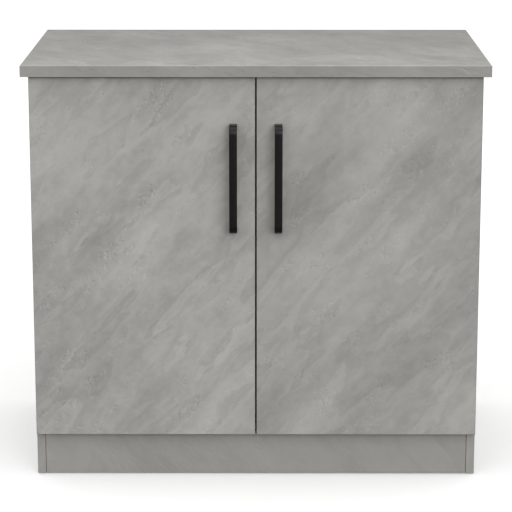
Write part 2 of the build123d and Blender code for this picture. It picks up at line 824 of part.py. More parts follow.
with BuildPart() as cup_pins:
    with BuildSketch(*plan):
        discs([at(b_pivot)], link_pin_radius)
    extrude(amount=cup_pin_half, both=True)
    clear_middle(inner_link_gap / 2)
    with BuildSketch(*plan):
        discs([at(a_pivot)], link_pin_radius)
    extrude(amount=cup_pin_half, both=True)
finish_pair(cup_pins, "cup_pins")

with BuildPart() as cup_screws:
    with BuildSketch(*rims):
        discs(cup_screw_places, cup_screw_radius)
    extrude(amount=-flange_thickness - cup_screw_length)
    with BuildSketch(*rims):
        discs(cup_screw_places, cup_screw_head_radius)
    extrude(amount=cup_screw_head_height)
finish_pair(cup_screws, "cup_screws")

# Outer links: one bar in the middle layer, bowed under the cup's rim
with BuildPart() as outer_links:
    with BuildSketch(*plan):
        bowed_bar(a_pivot, c_pivot, outer_link_bow, outer_link_width)
        discs([at(a_pivot), at(c_pivot)], outer_eye_radius)
        discs([at(a_pivot), at(c_pivot)], link_pin_radius + fit, mode=Mode.SUBTRACT)
    extrude(amount=outer_link_thickness / 2, both=True)
finish_pair(outer_links, "hinge_outer_links")

# Inner links: two plates astride the outer link. The end on the arm has a slot,
# because its pin wanders a little along and across the plate as the door swings.
link_line = (d_pivot - b_pivot).normalized()
slot_side = link_line.rotate(Axis.Z, 90.0) * (slot_side_play / 2)
slot_radius = link_pin_radius + slot_side_play / 2 + slot_clearance
slot_inner_end = d_pivot + slot_side - link_line * slot_travel
slot_ends = [at(d_pivot + slot_side), at(slot_inner_end)]
with BuildSketch() as slot_frame:
    discs(slot_ends, slot_radius + slot_wall)
    make_hull()
with BuildSketch() as slot:
    discs(slot_ends, slot_radius)
    make_hull()

with BuildPart() as inner_links:
    with BuildSketch(*plan):
        bowed_bar(b_pivot, slot_inner_end, inner_link_bow, inner_link_width)
        discs([at(b_pivot)], inner_eye_radius)
        add(slot_frame.sketch)
        add(slot.sketch, mode=Mode.SUBTRACT)
        discs([at(b_pivot)], link_pin_radius + fit, mode=Mode.SUBTRACT)
    extrude(amount=inner_link_half, both=True)
    clear_middle(inner_link_gap / 2)
finish_pair(inner_links, "hinge_inner_links")
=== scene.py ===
"""Finishes, small hardware, light and camera for a grey kitchen base cabinet.

Lengths are in metres. The front faces -Y, +X is to the viewer's right and +Z is up.
"""
import logging
import math
from dataclasses import dataclass
from enum import Enum

import bpy
import numpy as np
from mathutils import Euler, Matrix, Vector


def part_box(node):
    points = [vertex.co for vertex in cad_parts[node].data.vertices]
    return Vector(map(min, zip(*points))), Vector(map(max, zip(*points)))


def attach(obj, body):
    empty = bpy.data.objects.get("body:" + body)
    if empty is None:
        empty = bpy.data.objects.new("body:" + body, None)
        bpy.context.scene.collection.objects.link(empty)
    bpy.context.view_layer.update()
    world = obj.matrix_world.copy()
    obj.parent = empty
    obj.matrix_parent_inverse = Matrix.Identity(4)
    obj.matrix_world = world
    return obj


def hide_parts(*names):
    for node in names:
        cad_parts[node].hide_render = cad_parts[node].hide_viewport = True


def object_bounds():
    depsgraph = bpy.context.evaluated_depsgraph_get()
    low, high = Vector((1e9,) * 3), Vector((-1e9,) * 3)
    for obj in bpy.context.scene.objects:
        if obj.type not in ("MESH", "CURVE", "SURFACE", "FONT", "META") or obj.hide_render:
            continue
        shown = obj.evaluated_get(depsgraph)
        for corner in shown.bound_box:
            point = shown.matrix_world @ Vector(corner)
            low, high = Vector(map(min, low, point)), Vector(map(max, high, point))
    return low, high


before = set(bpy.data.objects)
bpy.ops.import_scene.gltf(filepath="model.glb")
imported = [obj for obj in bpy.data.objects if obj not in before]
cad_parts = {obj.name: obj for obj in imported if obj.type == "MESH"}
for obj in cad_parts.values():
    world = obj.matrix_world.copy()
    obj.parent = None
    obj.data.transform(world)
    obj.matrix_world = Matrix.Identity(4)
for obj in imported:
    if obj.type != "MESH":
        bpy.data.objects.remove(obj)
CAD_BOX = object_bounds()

LOG = logging.getLogger("base_cabinet")
MM = 0.001
# A surface faces along an axis where its normal's part along it is over this.
FLAT = 0.6

Colour = tuple[float, float, float]
Triple = tuple[float, float, float]
Box = tuple[np.ndarray, np.ndarray]
Socket = bpy.types.NodeSocket

STEEL: Colour = (0.67, 0.65, 0.61)
ZINC: Colour = (0.56, 0.55, 0.54)


class Side(Enum):
    """The two mirrored halves, with the sign of X on each."""

    LEFT = -1
    RIGHT = 1

    def node(self, name: str) -> str:
        """Give the name of this side's node."""
        return f"{self.name.lower()}_{name}"


class Facing(Enum):
    """The axis that a board's two printed faces point along."""

    X = 0
    Y = 1
    Z = 2


class Drive(Enum):
    """What is pressed into a fastener's head."""

    CROSS = "cross"
    PLAIN = "plain"


def shade(colour: Colour, share: float) -> Colour:
    """Give a share of a colour."""
    return tuple(part * share for part in colour)


def turn_to(run: Triple) -> Triple:
    """Give the Euler angles that turn X to a direction."""
    return tuple(Vector(run).to_track_quat("X", "Y").to_euler())


# Shader building

class Graph:
    """One material's nodes, wired by short calls. Every pattern is in object coordinates."""

    def __init__(self, name: str) -> None:
        """Start a material with a Principled shader.

        Args:
            name: The material's name.
        """
        self.material = bpy.data.materials.new(name)
        self.material.use_nodes = True
        self.tree = self.material.node_tree
        self.shader = self.tree.nodes["Principled BSDF"]
        self.coordinates = self.tree.nodes.new("ShaderNodeTexCoord")

    def node(
        self, kind: str, inputs: dict[int | str, object], **settings: object
    ) -> bpy.types.Node:
        """Add a node.

        Args:
            kind: Blender's name for the node type.
            inputs: A value or a socket for each input that is set.
            settings: The node's own properties.

        Returns:
            The node.
        """
        node = self.tree.nodes.new(kind)
        for key, value in settings.items():
            setattr(node, key, value)
        for key, value in inputs.items():
            self.feed(node.inputs[key], value)
        return node

    def feed(self, socket: Socket, value: object) -> None:
        """Link a socket to another, or set its own value.

        Args:
            socket: The input socket.
            value: An output socket, or a plain value.
        """
        if isinstance(value, Socket):
            self.tree.links.new(value, socket)
        else:
            socket.default_value = value

    def place(self, size: Triple, turn: Triple = (0, 0, 0), at: Triple = (0, 0, 0)) -> Socket:
        """Give object coordinates turned to a pattern's own axes, in units of its feature sizes.

        Args:
            size: The length of one feature along each of the pattern's axes.
            turn: The Euler angles that turn the object's axes to the pattern's.
            at: The pattern's origin.

        Returns:
            The vector socket.
        """
        here = self.coordinates.outputs["Object"]
        inputs = {"Vector": here, "Location": at, "Rotation": turn, "Scale": size}
        return self.node("ShaderNodeMapping", inputs, vector_type="TEXTURE").outputs[0]

    def even(self, size: float) -> Socket:
        """Give object coordinates in units of one size along every axis."""
        return self.place((size,) * 3)

    def noise(
        self,
        where: Socket,
        seed: float,
        detail: float = 3.0,
        roughness: float = 0.5,
        warp: float = 0.0,
    ) -> Socket:
        """Give fractal noise from 0 to 1, about 0.5.

        Args:
            where: The vector, in units of the feature size.
            seed: The place on the fourth axis, which makes each pattern its own.
            detail: The number of octaves.
            roughness: How much each octave keeps of the one before.
            warp: How far the pattern is dragged by itself.

        Returns:
            The factor socket.
        """
        inputs = {"Vector": where, "W": seed, "Scale": 1.0, "Detail": detail}
        inputs |= {"Roughness": roughness, "Distortion": warp}
        return self.node("ShaderNodeTexNoise", inputs, noise_dimensions="4D").outputs["Fac"]

    def math(self, operation: str, *terms: object, clamp: bool = False) -> Socket:
        """Give the result of one arithmetic step."""
        inputs = dict(enumerate(terms))
        return self.node("ShaderNodeMath", inputs, operation=operation, use_clamp=clamp).outputs[0]

    def step(
        self, value: object, low: float, high: float, bottom: float = 0.0, top: float = 1.0
    ) -> Socket:
        """Give a smooth step from bottom to top as the value goes from low to high."""
        inputs = {0: value, 1: low, 2: high, 3: bottom, 4: top}
        return self.node("ShaderNodeMapRange", inputs, interpolation_type="SMOOTHSTEP").outputs[0]

    def total(self, parts: list[tuple[Socket, float]], start: float = 0.0) -> Socket:
        """Add up weighted parts.

        Args:
            parts: Each part's socket and weight.
            start: What the sum starts from.

        Returns:
            The sum's socket.
        """
        result: object = start
        for socket, weight in parts:
            result = self.math("MULTIPLY_ADD", socket, weight, result)
        return result

    def blend(self, factor: object, low: object, high: object) -> Socket:
        """Give a colour between two, each a colour or a socket."""
        inputs = {0: factor, 6: self.opaque(low), 7: self.opaque(high)}
        return self.node("ShaderNodeMix", inputs, data_type="RGBA").outputs[2]

    @staticmethod
    def opaque(colour: object) -> object:
        """Add the fourth channel to a plain colour, and leave a socket as it is."""
        return (*colour, 1.0) if isinstance(colour, tuple) else colour

    def normal(self, facing: Facing) -> Socket:
        """Give the part of the surface's normal along an axis."""
        split = self.node("ShaderNodeSeparateXYZ", {0: self.coordinates.outputs["Normal"]})
        return split.outputs[facing.value]

    def facing(self, facing: Facing) -> Socket:
        """Give 1 where the surface faces along a board's thickness and 0 on its edges."""
        return self.math("GREATER_THAN", self.math("ABSOLUTE", self.normal(facing)), FLAT)

    def outward(self, facing: Facing) -> Socket:
        """Give 1 where the surface faces the positive end of an axis."""
        return self.math("GREATER_THAN", self.normal(facing), FLAT)

    def sighted(self) -> Socket:
        """Give 1 for rays that show a thing, straight or through something clear."""
        path = self.node("ShaderNodeLightPath", {}).outputs
        return self.math("MAXIMUM", path["Is Camera Ray"], path["Is Transmission Ray"])

    def relief(self, height: Socket, depth: float, strength: float = 1.0) -> None:
        """Wire a height pattern, in units of the depth, to the shader's normal."""
        inputs = {"Height": height, "Distance": depth, "Strength": strength}
        self.feed(self.shader.inputs["Normal"], self.node("ShaderNodeBump", inputs).outputs[0])

    def dress(self, **values: object) -> bpy.types.Material:
        """Set the shader's own sockets and give the material.

        Args:
            values: A value or a socket for each input, named with underscores for spaces.

        Returns:
            The finished material.
        """
        for key, value in values.items():
            self.feed(self.shader.inputs[key.replace("_", " ")], self.opaque(value))
        return self.material


# Finishes

@dataclass(frozen=True)
class Strata:
    """Where each large layer of a print lies on the noise's fourth axis, from the board's seed."""

    cloud: float = 1.0
    band: float = 8.0
    slate: float = 2.0
    torn: float = 3.0


@dataclass(frozen=True)
class Layer:
    """One noise of a stone print.

    Its length along the streaks, its width across them and its shift are in millimetres.
    Its seed counts from the board's own.
    """

    length: float
    width: float
    seed: float
    detail: float = 3.0
    roughness: float = 0.5
    warp: float = 0.0
    shift: float = 0.0


@dataclass(frozen=True)
class StonePrint:
    """A satin laminate printed like brushed stone, on a chipboard core that shows at bare edges.

    The print is a sum of fractal noises, most of them longer along the streaks than across:
    broad clouds and bands, a mottle and a fine grit, two layers that rise slowly and break
    off along torn edges, and short notches in patches. The contrast scales the whole print,
    the gloss is the shader's specular level, and the stretch scales every layer's length.
    """

    name: str
    facing: Facing | None
    run: Triple
    tone: Colour
    contrast: float = 1.0
    seed: float = 0.0
    strata: Strata = Strata()
    roughness: float = 0.42
    gloss: float = 0.3
    stretch: float = 1.0
    reach: float = 0.45
    relief: float = 0.10 * MM
    core_tone: Colour = (0.47, 0.35, 0.21)
    core_rougher: float = 0.4
    smooth_middle: float = 0.5
    broken_middle: float = 0.46

    @property
    def turn(self) -> Triple:
        """Give the Euler angles that turn X to the direction of the streaks."""
        return turn_to(self.run)

    def noise(self, g: Graph, layer: Layer) -> Socket:
        """Wire one layer's noise.

        Args:
            g: The material's graph.
            layer: The layer.

        Returns:
            The noise's socket, from 0 to 1.
        """
        length = layer.length * self.stretch * MM
        width, shift = layer.width * MM, layer.shift * MM
        place = g.place((length, width, width), self.turn, (shift, 0.0, shift))
        return g.noise(place, self.seed + layer.seed, layer.detail, layer.roughness, layer.warp)

    def terrace(self, g: Graph, layer: Layer, rough: Socket, count: float, edge: float) -> Socket:
        """Cut a layer into terraces that rise slowly and break off.

        Args:
            g: The material's graph.
            layer: The layer.
            rough: What is added to it, so that the edges are torn.
            count: The number of terraces between 0 and 1.
            edge: The share of a terrace over which it breaks off.

        Returns:
            The height in a terrace: the fraction of count times the sum, falling back to 0.
        """
        height = g.math("ADD", self.noise(g, layer), rough)
        level = g.math("FRACT", g.math("MULTIPLY", height, count))
        return g.math("MULTIPLY", level, g.step(level, 1.0 - edge, 1.0, 1.0, 0.0))

    def notches(self, g: Graph) -> Socket:
        """Wire short notches in patches: chips less the same chips set 2 mm aside.

        Args:
            g: The material's graph.

        Returns:
            The notches' socket, over 0 at one side of a chip and under 0 at the other.
        """
        region = g.step(self.noise(g, Layer(80, 26, 6.0)), 0.53, 0.62)
        chips = [
            g.step(self.noise(g, Layer(15, 6, 7.0, detail=2.5, warp=0.4, shift=shift)), 0.52, 0.60)
            for shift in (0.0, 2.0)
        ]
        return g.math("MULTIPLY", g.math("SUBTRACT", *chips), region)

    def print_pattern(self, g: Graph) -> Socket:
        """Wire the print's pattern, about 0: the weighted layers less their middles.

        Args:
            g: The material's graph.

        Returns:
            The pattern's socket, where 0.1 is a tenth lighter than the tone.
        """
        cloud = Layer(300, 150, self.strata.cloud, detail=2.0)
        band = Layer(360, 62, self.strata.band, warp=0.3)
        grit = Layer(3.2, 2.4, 5.0, detail=2.0, roughness=0.6)
        slate = Layer(320, 84, self.strata.slate, roughness=0.45)
        torn = Layer(140, 40, self.strata.torn, roughness=0.45)
        mottle = self.noise(g, Layer(30, 24, 4.0, detail=4.0, roughness=0.58, warp=0.3))
        rough = g.math("MULTIPLY_ADD", mottle, 0.20, -0.10)
        smooth = [
            (self.noise(g, cloud), 0.72),
            (self.noise(g, band), 0.34),
            (mottle, 0.26),
            (self.noise(g, grit), 0.05),
        ]
        broken = [
            (self.terrace(g, slate, rough, 4.6, 0.12), 0.16),
            (self.terrace(g, torn, rough, 3.4, 0.14), 0.12),
        ]
        start = -self.smooth_middle * sum(weight for _, weight in smooth)
        start -= self.broken_middle * sum(weight for _, weight in broken)
        weights = smooth + broken + [(self.notches(g), 0.20)]
        return g.math("MULTIPLY", g.total(weights, start), self.contrast)

    def core_colour(self, g: Graph) -> Socket:
        """Wire the colour of sawn chipboard: flat chips of many tones in a darker binder.

        Args:
            g: The material's graph.

        Returns:
            The colour's socket.
        """
        where = g.place((4.5 * MM,) * 3, (0.3, 0.2, 0.5))
        chips = g.node("ShaderNodeTexVoronoi", {"Vector": where, "Scale": 1.0})
        split = g.node("ShaderNodeSeparateColor", {0: chips.outputs["Color"]})
        dark, light = shade(self.core_tone, 0.5), shade(self.core_tone, 1.35)
        specks = g.noise(g.even(1.1 * MM), 3.0, detail=4.0)
        tone = g.math("MULTIPLY_ADD", specks, 0.6, split.outputs[0])
        return g.blend(g.step(tone, 0.25, 1.35), dark, light)

    def material(self) -> bpy.types.Material:
        """Build the laminate, with the bare core on the board's edges.

        Returns:
            The material. Its colour runs from the tone less a share of it, the reach, to
            the tone plus that share.
        """
        g = Graph(self.name)
        pattern = self.print_pattern(g)
        dark, light = shade(self.tone, 1 - self.reach), shade(self.tone, 1 + self.reach)
        factor = g.math("MULTIPLY_ADD", pattern, 0.5 / self.reach, 0.5, clamp=True)
        colour = g.blend(factor, dark, light)
        touch = g.noise(g.place((70 * MM, 55 * MM, 60 * MM)), self.seed + 11.0)
        roughness = g.total([(pattern, 0.25), (touch, 0.10)], self.roughness - 0.05)
        pore = g.place((0.9 * MM, 0.5 * MM, 0.5 * MM), self.turn)
        pores = g.noise(pore, self.seed + 12.0, detail=2.0)
        height = g.total([(pores, 0.5), (pattern, 1.2)])
        if self.facing is not None:
            printed = g.facing(self.facing)
            colour = g.blend(printed, self.core_colour(g), colour)
            bare = g.math("MULTIPLY_ADD", printed, -self.core_rougher, self.core_rougher)
            roughness = g.math("ADD", roughness, bare)
        g.relief(height, self.relief, 0.35)
        return g.dress(Base_Color=colour, Roughness=roughness, Specular_IOR_Level=self.gloss)


@dataclass(frozen=True)
class Hardboard:
    """The back: painted on its inside, and bare brown fibre with a wire-mesh imprint outside."""

    name: str = "back_board"
    paint: Colour = (0.36, 0.355, 0.34)
    fibre: Colour = (0.27, 0.185, 0.115)
    mesh_pitch: float = 1.6 * MM
    relief: float = 0.12 * MM

    def material(self) -> bpy.types.Material:
        """Build the board; the imprint is the product of two sine waves across it.

        Returns:
            The material.
        """
        g = Graph(self.name)
        felt = g.noise(g.place((9 * MM, 9 * MM, 5 * MM)), 1.0, detail=6.0, roughness=0.65)
        cloud = g.noise(g.place((240 * MM, 100 * MM, 170 * MM)), 2.0)
        fleck = g.place((2.5 * MM, 2.5 * MM, 1.0 * MM), (0, 0.5, 0))
        flecks = g.step(g.noise(fleck, 3.0, detail=2.0), 0.62, 0.72)
        tone = g.total([(felt, 0.9), (cloud, 0.8), (flecks, -0.25)], -0.32)
        brown = g.blend(tone, shade(self.fibre, 0.62), shade(self.fibre, 1.3))
        painted = g.blend(g.math("MULTIPLY", felt, 0.3), self.paint, shade(self.paint, 0.85))
        back = g.outward(Facing.Y)
        split = g.node("ShaderNodeSeparateXYZ", {0: g.coordinates.outputs["Object"]})
        rate = 2 * math.pi / self.mesh_pitch
        across = g.math("SINE", g.math("MULTIPLY", split.outputs[0], rate))
        up = g.math("SINE", g.math("MULTIPLY", split.outputs[2], rate))
        imprint = g.math("MULTIPLY", g.math("MULTIPLY", across, up), back)
        g.relief(g.total([(imprint, 0.5), (felt, 1.0)]), self.relief, 0.5)
        roughness = g.math("MULTIPLY_ADD", back, 0.25, 0.5)
        return g.dress(Base_Color=g.blend(back, painted, brown), Roughness=roughness)


@dataclass(frozen=True)
class Timber:
    """Planed pale timber, with growth rings along one axis and short flecks."""

    name: str
    run: Triple
    early: Colour = (0.60, 0.42, 0.25)
    late: Colour = (0.42, 0.26, 0.13)
    ring_rate: float = 60.0
    relief: float = 0.08 * MM

    def material(self) -> bpy.types.Material:
        """Build the timber; rings are bands of a stretched noise, taken through a sine.

        Returns:
            The material.
        """
        g = Graph(self.name)
        turn = turn_to(self.run)
        rings = g.noise(g.place((160 * MM, 14 * MM, 22 * MM), turn), 1.0, detail=1.5)
        wave = g.math("SINE", g.math("MULTIPLY", rings, self.ring_rate))
        pores = g.noise(g.place((7 * MM, 0.35 * MM, 0.35 * MM), turn), 2.0, detail=2.0)
        tone = g.total([(wave, 0.22), (pores, 0.9)], -0.05)
        g.relief(pores, self.relief, 0.5)
        return g.dress(Base_Color=g.blend(tone, self.early, self.late), Roughness=0.62)


@dataclass(frozen=True)
class PowderCoat:
    """Satin black powder coat with a fine orange-peel skin."""

    name: str = "black_enamel"
    tone: Colour = (0.0036, 0.0036, 0.0034)
    roughness: float = 0.30
    gloss: float = 0.28
    relief: float = 0.06 * MM

    def material(self) -> bpy.types.Material:
        """Build the coat; its skin is two scales of soft noise.

        Returns:
            The material.
        """
        g = Graph(self.name)
        peel = g.noise(g.even(1.1 * MM), 1.0, detail=1.0)
        grit = g.noise(g.even(0.28 * MM), 2.0, detail=1.0)
        wear = g.noise(g.even(30 * MM), 3.0)
        colour = g.blend(g.step(grit, 0.35, 0.75), self.tone, shade(self.tone, 1.7))
        g.relief(g.total([(peel, 1.0), (grit, 0.35)]), self.relief, 0.5)
        roughness = g.total([(wear, 0.10), (grit, 0.08)], self.roughness - 0.09)
        return g.dress(Base_Color=colour, Roughness=roughness, Specular_IOR_Level=self.gloss)


@dataclass(frozen=True)
class Metal:
    """Plated or cast metal, with tumbled marks and faint stains."""

    name: str
    tone: Colour = STEEL
    roughness: float = 0.30
    mark: float = 0.4 * MM
    relief: float = 0.006 * MM

    def material(self) -> bpy.types.Material:
        """Build the metal; marks are short noise streaks over a broad stain.

        Returns:
            The material.
        """
        g = Graph(self.name)
        mark = g.place((self.mark * 4, self.mark, self.mark), (0.4, 0.7, 0.3))
        marks = g.noise(mark, 1.0, roughness=0.6)
        stain = g.noise(g.even(14 * MM), 2.0)
        tone = g.total([(stain, 0.8), (marks, 0.3)], -0.05)
        colour = g.blend(tone, shade(self.tone, 0.82), self.tone)
        g.relief(marks, self.relief, 0.4)
        roughness = g.total([(marks, 0.16), (stain, 0.14)], self.roughness - 0.15)
        return g.dress(Base_Color=colour, Roughness=roughness, Metallic=1.0)


@dataclass(frozen=True)
class Moulding:
    """Moulded or extruded plastic with a fine spark texture."""

    name: str
    tone: Colour
    roughness: float = 0.45
    clear: float = 0.0
    relief: float = 0.05 * MM

    def material(self) -> bpy.types.Material:
        """Build the plastic; a clear one lets some light through.

        Returns:
            The material.
        """
        g = Graph(self.name)
        spark = g.noise(g.even(0.5 * MM), 1.0, detail=2.0)
        flow = g.noise(g.place((40 * MM, 12 * MM, 12 * MM)), 2.0, detail=2.0)
        colour = g.blend(flow, shade(self.tone, 0.93), self.tone)
        g.relief(spark, self.relief, 0.5)
        roughness = g.total([(spark, 0.1)], self.roughness - 0.05)
        return g.dress(Base_Color=colour, Roughness=roughness, Transmission_Weight=self.clear)


# Surfaces

@dataclass
class Surface:
    """Vertices and faces, as arrays, before they become a mesh."""

    vertices: np.ndarray
    faces: list[tuple[int, ...]]

    @classmethod
    def skinned(cls, rings: np.ndarray) -> "Surface":
        """Skin a stack of closed rings with quads, and close both ends with fans.

        Args:
            rings: Points, as (rings, points per ring, 3), that wind anticlockwise seen
                from the last ring's side.

        Returns:
            The closed surface.
        """
        count, around, _ = rings.shape
        here = np.arange(count * around).reshape(count, around)
        beside = np.roll(here, -1, axis=1)
        quads = np.stack([here[:-1], beside[:-1], beside[1:], here[1:]], axis=-1).reshape(-1, 4)
        first, last = count * around, count * around + 1
        start_fan = np.stack([beside[0], here[0], np.full(around, first)], axis=-1)
        end_fan = np.stack([here[-1], beside[-1], np.full(around, last)], axis=-1)
        centres = rings[[0, -1]].mean(axis=1)
        vertices = np.concatenate([rings.reshape(-1, 3), centres])
        return cls(vertices, quads.tolist() + start_fan.tolist() + end_fan.tolist())

    @classmethod
    def joined(cls, surfaces: list["Surface"]) -> "Surface":
        """Put several surfaces into one.

        Args:
            surfaces: The surfaces.

        Returns:
            One surface, with each still closed by itself.
        """
        faces: list[tuple[int, ...]] = []
        offset = 0
        for surface in surfaces:
            faces += [tuple(index + offset for index in face) for face in surface.faces]
            offset += len(surface.vertices)
        return cls(np.concatenate([surface.vertices for surface in surfaces]), faces)

    def piece(
        self, name: str, material: bpy.types.Material, crease: float = 35.0
    ) -> bpy.types.Object:
        """Make the mesh object.

        Args:
            name: The piece's name.
            material: Its finish.
            crease: The angle in degrees past which an edge stays sharp.

        Returns:
            The object, at the origin.
        """
        mesh = bpy.data.meshes.new(name)
        mesh.from_pydata(self.vertices.tolist(), [], self.faces)
        mesh.materials.append(material)
        mesh.polygons.foreach_set("use_smooth", np.ones(len(mesh.polygons), dtype=bool))
        mesh.set_sharp_from_angle(angle=math.radians(crease))
        mesh.update()
        piece = bpy.data.objects.new(name, mesh)
        bpy.context.scene.collection.objects.link(piece)
        return piece


def solids(node: str) -> list[Box]:
    """Find the separate solids of a node.

    Triangles that share a corner's place belong together: each corner takes the lowest
    label among its triangles' corners, again and again, until no label changes.

    Args:
        node: The node's name.

    Returns:
        Each solid's lowest and highest corner, from low to high in Z, then Y, then X.
    """
    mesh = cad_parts[node].data
    mesh.calc_loop_triangles()
    corners = np.zeros(len(mesh.vertices) * 3)
    mesh.vertices.foreach_get("co", corners)
    triangles = np.zeros(len(mesh.loop_triangles) * 3, dtype=int)
    mesh.loop_triangles.foreach_get("vertices", triangles)
    places, same = np.unique(corners.reshape(-1, 3).round(6), axis=0, return_inverse=True)
    triangles = same.reshape(-1)[triangles].reshape(-1, 3)
    labels = np.arange(len(places))
    changed = True
    while changed:
        before = labels.copy()
        lowest = labels[triangles].min(axis=1)
        np.minimum.at(labels, triangles, lowest[:, None])
        labels = labels[labels]
        changed = not np.array_equal(before, labels)
    groups = [places[labels == label] for label in np.unique(labels)]
    boxes = [(group.min(0), group.max(0)) for group in groups]
    return sorted(boxes, key=lambda box: tuple(((box[0] + box[1]) / 2).round(4)[::-1]))


def adopt(piece: bpy.types.Object, body: str, slot: str, *nodes: str) -> None:
    """Let a piece ride on a body and stand for nodes.

    Args:
        piece: The new piece.
        body: The body's name.
        slot: The record's material slot; not used.
        nodes: The nodes that it stands for.
    """
    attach(piece, body)
    if nodes:
        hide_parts(*nodes)
    LOG.info("%s: %d faces, on %s", piece.name, len(piece.data.polygons), body)


def dress(material: bpy.types.Material, *nodes: str) -> None:
    """Give nodes of the frame a finish.

    Args:
        material: The finish.
        nodes: The nodes' names.
    """
    for node in nodes:
        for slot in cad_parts[node].material_slots:
            slot.material = material
        LOG.info("%s: %s", node, material.name)


# Sub-assemblies

@dataclass
class Carcass:
    """The boards between floor and worktop, the back and the joint fittings."""

    tone: Colour = (0.325, 0.318, 0.300)
    # A little darker than the boards' tone: painted shade for the plinth's recess under the doors.
    plinth_shaded_tone: Colour = (0.313, 0.307, 0.289)
    strip_tone: Colour = (0.55, 0.55, 0.53)
    glide_tone: Colour = (0.022, 0.022, 0.023)
    side_run: Triple = (0.0, 0.66, 0.75)
    level_run: Triple = (0.74, -0.67, 0.0)
    plinth_run: Triple = (0.66, 0.0, -0.75)
    band_run: Triple = (0.3, 0.0, 0.95)
    timber_run: Triple = (1.0, 0.0, 0.0)

    def dress(self) -> None:
        """Give every board its print and every fitting its finish."""
        side = StonePrint("side_print", Facing.X, self.side_run, self.tone, seed=31.0)
        dress(side.material(), "left_side_panel", "right_side_panel")
        level = StonePrint("level_print", Facing.Z, self.level_run, self.tone, seed=32.0)
        dress(level.material(), "bottom_panel", "shelf", "front_top_rail", "rear_top_rail")
        # The plinth's print, on its rails too, is a little darker than the boards': painted shade
        # for the recess under the doors.
        plinth = StonePrint(
            "plinth_print_painted_shade",
            Facing.Y,
            self.plinth_run,
            self.plinth_shaded_tone,
            contrast=0.35,
            seed=338.0,
            strata=Strata(-312.6, -191.2, -158.7, -104.8),
        )
        dress(plinth.material(), "plinth_board", "rear_plinth_rail", "wall_rail")
        bands = StonePrint(
            "carcass_band", None, self.band_run, self.tone, contrast=0.35, seed=34.0, roughness=0.36
        )
        dress(bands.material(), "carcass_edge_bands", "shelf_edge_band")
        dress(Hardboard().material(), "left_back_panel", "right_back_panel")
        timber = Timber("block_timber", self.timber_run)
        dress(timber.material(), "plinth_blocks", "dowels")
        strip = Moulding("strip_plastic", self.strip_tone, roughness=0.4)
        dress(strip.material(), "back_joint_strip")
        glide = Moulding("glide_plastic", self.glide_tone, roughness=0.5)
        dress(glide.material(), "floor_glides")
        zinc = Metal("cam_zinc", ZINC, roughness=0.46, mark=0.6 * MM, relief=0.04 * MM)
        dress(zinc.material(), "cam_locks")
        steel = Metal("pin_steel", roughness=0.32)
        dress(steel.material(), "cam_bolts", "shelf_pins")


@dataclass
class Worktop:
    """The worktop and the band round its front and ends."""

    tone: Colour = (0.233, 0.228, 0.216)
    band_tone: Colour = (0.302, 0.295, 0.278)
    run: Triple = (0.54, -0.84, 0.0)
    band_run: Triple = (0.97, 0.0, -0.24)

    def dress(self) -> None:
        """Print the worktop so that its streaks run to the right as they come forward."""
        top = StonePrint(
            "worktop_print",
            Facing.Z,
            self.run,
            self.tone,
            seed=137.7,
            strata=Strata(234.3, 191.1, 247.3, 259.8),
            roughness=0.55,
            gloss=0.12,
            stretch=0.6,
        )
        dress(top.material(), "worktop")
        band = StonePrint(
            "worktop_band",
            None,
            self.band_run,
            self.band_tone,
            contrast=0.55,
            seed=42.0,
            roughness=0.3,
        )
        dress(band.material(), "worktop_edge_band")


@dataclass
class Door:
    """One door: its printed board, its band and its soft buffers."""

    side: Side
    seed: float
    strata: Strata
    contrast: float
    tone: Colour = (0.352, 0.344, 0.324)
    # The band's tone is this share of the door's: painted shade for the gap between the doors and
    # the door tops under the worktop.
    band_painted_shade: float = 0.6
    buffer_tone: Colour = (0.78, 0.78, 0.76)
    run: Triple = (0.66, 0.0, 0.75)

    def dress(self) -> None:
        """Print the door so that its streaks climb to the right, and its band darker: painted
        shade.
        """
        node = self.side.node
        board = StonePrint(
            node("door_print"),
            Facing.Y,
            self.run,
            self.tone,
            contrast=self.contrast,
            seed=self.seed,
            strata=self.strata,
        )
        dress(board.material(), node("door_panel"))
        # The band is printed darker than the door: painted shade for the gap and under the worktop.
        band = StonePrint(
            node("door_band_painted_shade"),
            None,
            self.run,
            shade(self.tone, self.band_painted_shade),
            contrast=0.5,
            seed=self.seed,
            roughness=0.34,
        )
        dress(band.material(), node("door_edge_band"))
        clear = Moulding(node("clear_buffer"), self.buffer_tone, roughness=0.35, clear=0.6)
        dress(clear.material(), node("door_buffers"))


